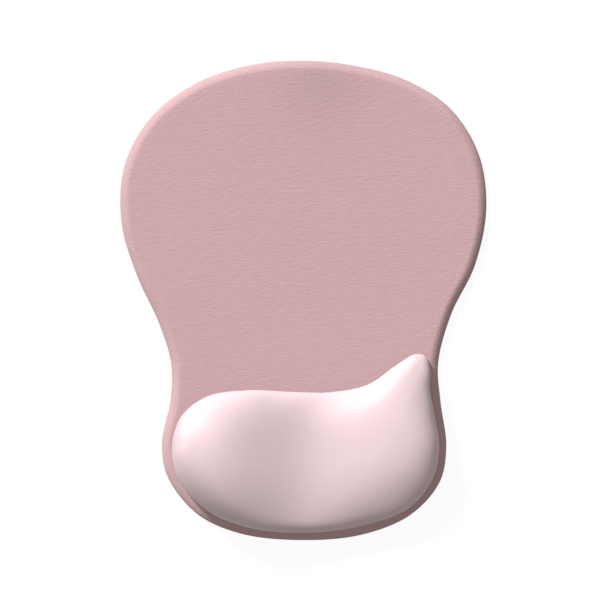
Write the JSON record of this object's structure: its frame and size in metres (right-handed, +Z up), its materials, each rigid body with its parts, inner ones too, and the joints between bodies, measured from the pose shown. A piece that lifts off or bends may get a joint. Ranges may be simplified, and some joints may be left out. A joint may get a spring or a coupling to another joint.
{
  "type": "mouse pad with wrist rest",
  "caption": "Hourglass cloth mouse pad with a rounded rim and a raised, saddle-shaped soft wrist rest that ends in a pointed ear at its back right corner.",
  "frame": {"origin": "centre of the resting face, on the desk under the middle of the pad's bounding box", "axes": "+X to the user's right, +Y away from the user along the pad's length, +Z up from the desk"},
  "size_m": [0.1986, 0.26, 0.0304],
  "materials": {
    "grip_rubber": "matte, finely textured non-slip polyurethane rubber",
    "adhesive": "thin cured adhesive film",
    "foam": "closed-cell rubber foam",
    "rose_cloth": "dusty-rose woven polyester cloth, matte",
    "backing_sheet": "thin polyurethane sheet, matte",
    "gel": "soft polyurethane gel",
    "pale_pink_skin": "soft-touch satin polyurethane skin, pale pink"
  },
  "bodies": {
    "root": {"grip_base": "grip_rubber", "base_adhesive": "adhesive", "foam_core": "foam", "cover_adhesive": "adhesive", "top_cover": "rose_cloth", "rest_adhesive": "adhesive", "rest_backing": "backing_sheet", "rest_gel": "gel", "rest_skin": "pale_pink_skin"}
  },
  "joints": []
}
